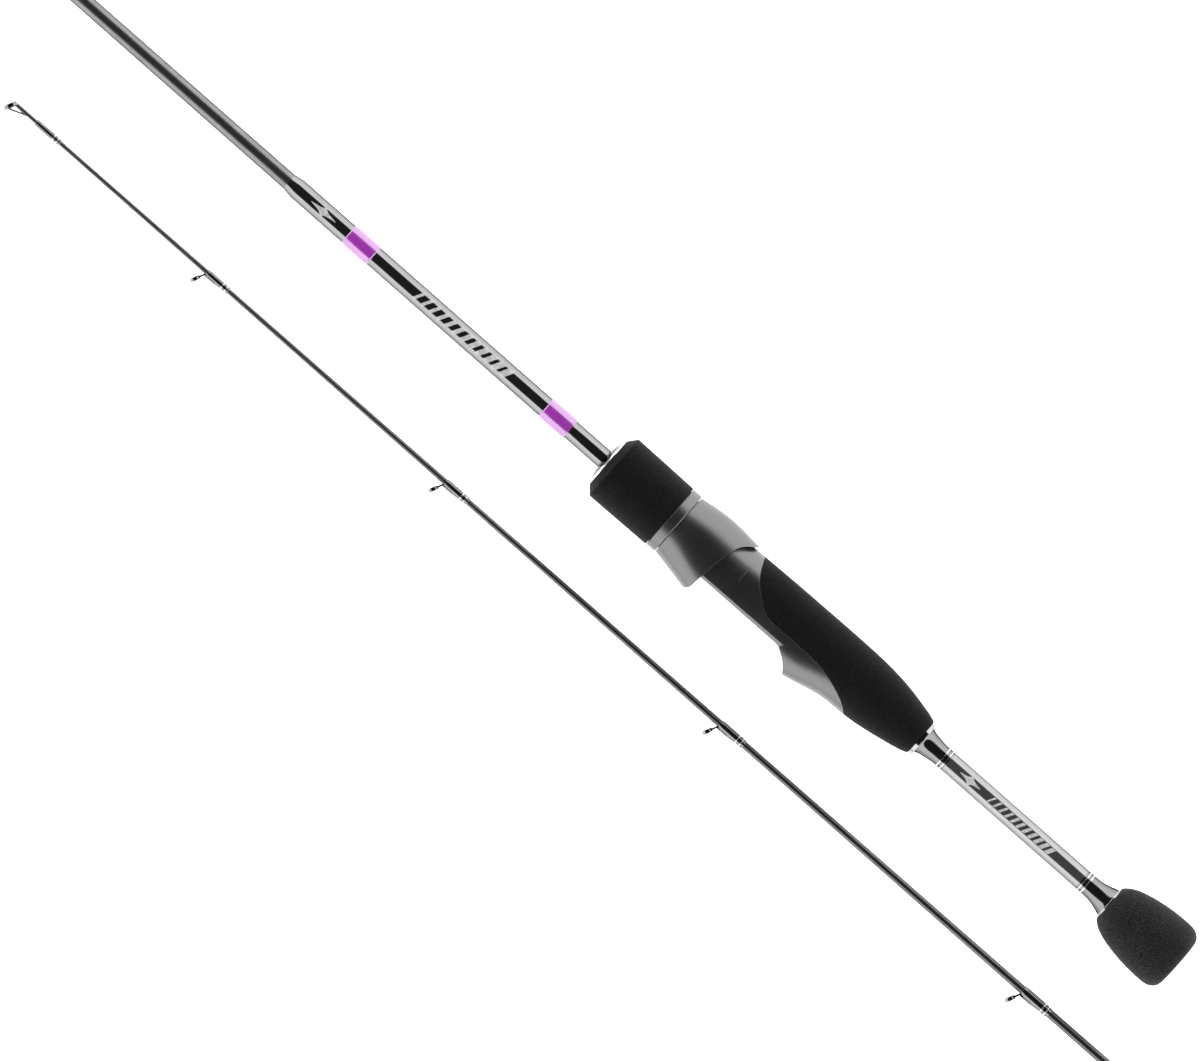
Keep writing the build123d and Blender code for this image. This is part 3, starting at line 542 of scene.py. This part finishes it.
def flat_ring(start, end, bore, outer, edge):
    """Outline of a ring, flat on top, with its two outer edges broken."""
    return [
        (start, bore),
        (start, outer - edge),
        (start + edge, outer),
        (end - edge, outer),
        (end, outer - edge),
        (end, bore),
    ]


def trim_ring(node):
    """A polished ring, flat on top, in place of a CAD ring."""
    low, high = box_mm(node)
    bore = min(r for _, r in outlines_of(node, BUTT_AXIS)[0])
    vertices, faces = turned([flat_ring(low.x, high.x, bore, high.y, RIM_EDGE)], BUTT_AXIS, 128)
    finished(node + "_shell", vertices, faces, body_of(node), CHROME, (node,))


def trim_bands(node):
    """Fine silver lines, half sunk in the epoxy, in place of the CAD's trim bands."""
    loops = []
    for outline in outlines_of(node, axis_of(node)):
        middle = sum(x for x, _ in outline) / len(outline)
        start = middle - BAND_HALF_WIDTH
        end = middle + BAND_HALF_WIDTH
        inner = min(r for _, r in outline)
        outer = (inner + max(r for _, r in outline)) / 2
        loops.append(flat_ring(start, end, inner - BAND_SUNK, outer, BAND_EDGE))
    vertices, faces = turned(loops, axis_of(node), 64)
    finished(node + "_shell", vertices, faces, body_of(node), SILVER, (node,))


trim_ring("knob_trim_ring")
trim_ring("grip_trim_ring")
returned("foregrip_check", CHECK_METAL, 160, 0.15)
returned("nut_sleeve", HOOD_PAINT, 128)
returned("knob_flare_wrap", WRAP_LACQUER)
returned("grip_flare_wrap", WRAP_LACQUER)
returned("overwrap_coat", COAT_LACQUER)
returned("purple_wrap_rear", PURPLE)
returned("purple_wrap_front", PURPLE)
returned("socket_wrap", WRAP_LACQUER)
returned("ferrule_stop_wrap", WRAP_LACQUER)
returned("tip_top_wrap", WRAP_LACQUER, 48)
for node in sorted(frame["nodes"]):
    if node.endswith("_bands"):
        trim_bands(node)

# ---------------------------------------------------------------- epoxy over the blank beside the grips
EPOXY_SUNK = 0.05  # how far the epoxy's inner face lies under the blank's skin
EPOXY_LIP = 0.01  # thickness at its two ends
EPOXY_RAMP = 0.6  # length of the ends that thin out
REAR_EPOXY = 0.18  # thickness behind the grip
FRONT_EPOXY = 0.2  # thickness before the foregrip
UNDER_FLARE = 0.7  # how far the rear sleeve runs under the flares
UNDER_COAT = 1.5  # how far the front sleeve runs under the long coat
INTO_FOREGRIP = 4.0  # how far it reaches in, so that the blank stays covered when the nut is turned in
THINNEST_SKIN = 2.66  # a radius over the blank's bore and ferrule, and under its skin elsewhere

butt_outline = outlines_of("butt_blank", BUTT_AXIS)[0]


def blank_radius(x):
    """Outer radius of the butt blank at x."""
    outer = sorted(p for p in butt_outline if p[1] > THINNEST_SKIN)
    return float(np.interp(x, [p[0] for p in outer], [p[1] for p in outer]))


def epoxy_sleeve(name, start, end, thickness, material):
    """A glossy sleeve over a stretch of the butt blank, thinning out at both ends."""
    first_r = blank_radius(start)
    last_r = blank_radius(end)
    outline = [
        (start, first_r - EPOXY_SUNK),
        (start, first_r + EPOXY_LIP),
        (start + EPOXY_RAMP, first_r + thickness),
        (end - EPOXY_RAMP, last_r + thickness),
        (end, last_r + EPOXY_LIP),
        (end, last_r - EPOXY_SUNK),
    ]
    vertices, faces = turned([outline], BUTT_AXIS, 96)
    finished(name, vertices, faces, "butt_section", material)


_, knob_flare_high = box_mm("knob_flare_wrap")
grip_flare_low, _ = box_mm("grip_flare_wrap")
_, check_high = box_mm("foregrip_check")
rear_start = knob_flare_high.x - UNDER_FLARE
rear_end = grip_flare_low.x + UNDER_FLARE
front_start = check_high.x - INTO_FOREGRIP
front_end = coat_low.x + UNDER_COAT
epoxy_sleeve("rear_blank_epoxy", rear_start, rear_end, REAR_EPOXY, REAR_LACQUER)
epoxy_sleeve("front_blank_epoxy", front_start, front_end, FRONT_EPOXY, COAT_LACQUER)

# ---------------------------------------------------------------- foil marks: plain bars and a lozenge
FOIL = 0.03  # thickness
FOIL_LIFT = 0.005  # clearance between the foil and what it lies on
FOIL_STRIPS = 10  # strips across a mark, so that it follows the round surface
BAR_SLANT = 0.55  # how far a bar leans along the blank for each millimetre across it
BAR_SHRINK = 0.6  # share of its length that the last bar of a row has nearly lost
LOZENGE_TIP = 0.02  # width of a lozenge at its two ends


def foil_patch(outline, radius):
    """Vertices and faces of a thin patch on the top of the butt section, from corners (x, across).

    The outline is its lower and its upper side, each from left to right and with as many corners as the
    other; the patch is divided into strips between them.
    """
    lower, upper = outline
    vertices = []
    for height in (0.0, FOIL):
        for step in range(FOIL_STRIPS + 1):
            share = step / FOIL_STRIPS
            for (x0, a0), (x1, a1) in zip(lower, upper):
                x = x0 + (x1 - x0) * share
                angle = (a0 + (a1 - a0) * share) / radius
                r = radius + height
                vertices.append((x, r * math.sin(angle), r * math.cos(angle)))
    wide = len(lower)
    layer = wide * (FOIL_STRIPS + 1)
    faces = []
    rim = []
    for step in range(FOIL_STRIPS):
        for k in range(wide - 1):
            a = step * wide + k
            faces.append((a, a + 1, a + 1 + wide, a + wide))
            faces.append(tuple(layer + v for v in (a + wide, a + 1 + wide, a + 1, a)))
    rim += [(k, k + 1) for k in range(wide - 1)]
    rim += [(step * wide + wide - 1, (step + 1) * wide + wide - 1) for step in range(FOIL_STRIPS)]
    rim += [(FOIL_STRIPS * wide + k, FOIL_STRIPS * wide + k - 1) for k in range(wide - 1, 0, -1)]
    rim += [(step * wide, (step - 1) * wide) for step in range(FOIL_STRIPS, 0, -1)]
    for a, b in rim:
        faces.append((b, a, layer + a, layer + b))
    return vertices, faces


def foil_marks(name, radius, bars, lozenges):
    """One piece with slanted bars and lozenges, each given as (x of its start, length, half width)."""
    vertices = []
    faces = []
    outlines = []
    for x, length, half_width in bars:
        slant = BAR_SLANT * half_width
        lower = [(x - slant, -half_width), (x + length - slant, -half_width)]
        upper = [(x + slant, half_width), (x + length + slant, half_width)]
        outlines.append((lower, upper))
    for x, length, half_width in lozenges:
        middle = length / 2
        lower = [(x, 0.0), (x + middle, -half_width), (x + length, 0.0)]
        upper = [(x, LOZENGE_TIP), (x + middle, half_width), (x + length, LOZENGE_TIP)]
        outlines.append((lower, upper))
    for outline in outlines:
        patch, skin = foil_patch(outline, radius)
        faces.extend(tuple(v + len(vertices) for v in face) for face in skin)
        vertices.extend(patch)
    finished(name, vertices, faces, "butt_section", FOIL_SILVER)


def row_of_bars(start, end, count, widest, half_width):
    """Bars whose lengths shrink evenly from the first to the last, evenly spaced."""
    pitch = (end - start) / count
    return [(start + pitch * k, widest * (1 - BAR_SHRINK * k / count), half_width) for k in range(count)]


rear_bars = row_of_bars(start=60.0, end=91.0, count=11, widest=1.7, half_width=1.45)
rear_lozenge = (94.0, 9.5, 2.0)
coat_bars = row_of_bars(start=318.0, end=364.0, count=12, widest=2.6, half_width=2.3)
coat_lozenge = (400.5, 11.5, 2.1)
rear_r = blank_radius(rear_lozenge[0]) + REAR_EPOXY
foil_marks("rear_foil_marks", rear_r + FOIL_LIFT, rear_bars, [rear_lozenge])
foil_marks("coat_foil_marks", coat_high.y + FOIL_LIFT, coat_bars, [coat_lozenge])

# ---------------------------------------------------------------- finishes of the CAD nodes that stay
CAD_FINISH = {
    "rear_grip": FOAM_GRIP,
    "reel_seat_body": SEAT_PAINT,
    "movable_hood": HOOD_PAINT,
    "rear_arbor": ARBOR,
    "front_arbor": ARBOR,
}
for node in sorted(frame["nodes"]):
    if node.endswith("_frame"):
        CAD_FINISH[node] = GUIDE_METAL
    elif node.endswith("_ring") and "trim" not in node:
        CAD_FINISH[node] = CERAMIC
    elif node.startswith(("guide_", "stripper_")) and node.endswith(("_wrap", "_wraps")):
        CAD_FINISH[node] = WRAP_LACQUER
for node, material in CAD_FINISH.items():
    frame["nodes"][node].material_slots[0].material = material

# ---------------------------------------------------------------- floor, light and camera
# A white tent lights the rod from all sides, and the camera looks down through a dark opening in its top.
SURROUND = 2.35  # radiance of the white tent
DARK = 0.02  # radiance of the opening
OPENING = math.radians(50)  # half angle of the dark opening that the camera looks through
OPENING_EDGE = math.radians(2.5)
FLOOR_HALF = 5.0
FLOOR_GLOW = 1.35  # the floor is lit from below as well

floor_mesh = bpy.data.meshes.new("floor")
floor_z = cad_bounds[0].z
corners = [(side_x * FLOOR_HALF, side_y * FLOOR_HALF, floor_z) for side_x in (-1, 1) for side_y in (-1, 1)]
floor_mesh.from_pydata(corners, [], [(0, 2, 3, 1)])
floor = bpy.data.objects.new("floor", floor_mesh)
bpy.context.scene.collection.objects.link(floor)
floor_shader = Shader("floor_white", base_color=(0.8, 0.8, 0.8), roughness=0.9, specular_ior_level=0.1)
floor_shader.set("Emission Color", (1.0, 1.0, 1.0))
floor_shader.set("Emission Strength", FLOOR_GLOW)
floor_mesh.materials.append(floor_shader.material)

world = bpy.data.worlds.new("tent")
bpy.context.scene.world = world
world.use_nodes = True
sky = world.node_tree
toward = sky.nodes.new("ShaderNodeTexCoord").outputs["Generated"]
height = sky.nodes.new("ShaderNodeSeparateXYZ")
sky.links.new(toward, height.inputs[0])
opening = sky.nodes.new("ShaderNodeMapRange")
opening.interpolation_type = "SMOOTHSTEP"
sky.links.new(height.outputs["Z"], opening.inputs["Value"])
opening.inputs["From Min"].default_value = math.cos(OPENING + OPENING_EDGE)
opening.inputs["From Max"].default_value = math.cos(OPENING - OPENING_EDGE)
opening.inputs["To Min"].default_value = SURROUND
opening.inputs["To Max"].default_value = DARK
sky.links.new(opening.outputs[0], sky.nodes["Background"].inputs["Strength"])
sky.nodes["Background"].inputs["Color"].default_value = (1, 1, 1, 1)

FRAME_WIDTH = 0.4286  # metres of floor across the picture
CAMERA_DISTANCE = 5.0
CAMERA_X = 0.257
CAMERA_Y = 0.0202
CAMERA_ROLL = math.radians(180 + 41.34)  # the knob lies at the lower right, the tips at the upper left
camera_data = bpy.data.cameras.new("camera")
camera_data.lens = camera_data.sensor_width * CAMERA_DISTANCE / FRAME_WIDTH
camera = bpy.data.objects.new("camera", camera_data)
camera.location = (CAMERA_X, CAMERA_Y, CAMERA_DISTANCE)
camera.rotation_euler = (0, 0, CAMERA_ROLL)
bpy.context.scene.collection.objects.link(camera)
bpy.context.scene.camera = camera
bpy.context.scene.view_settings.view_transform = "Standard"
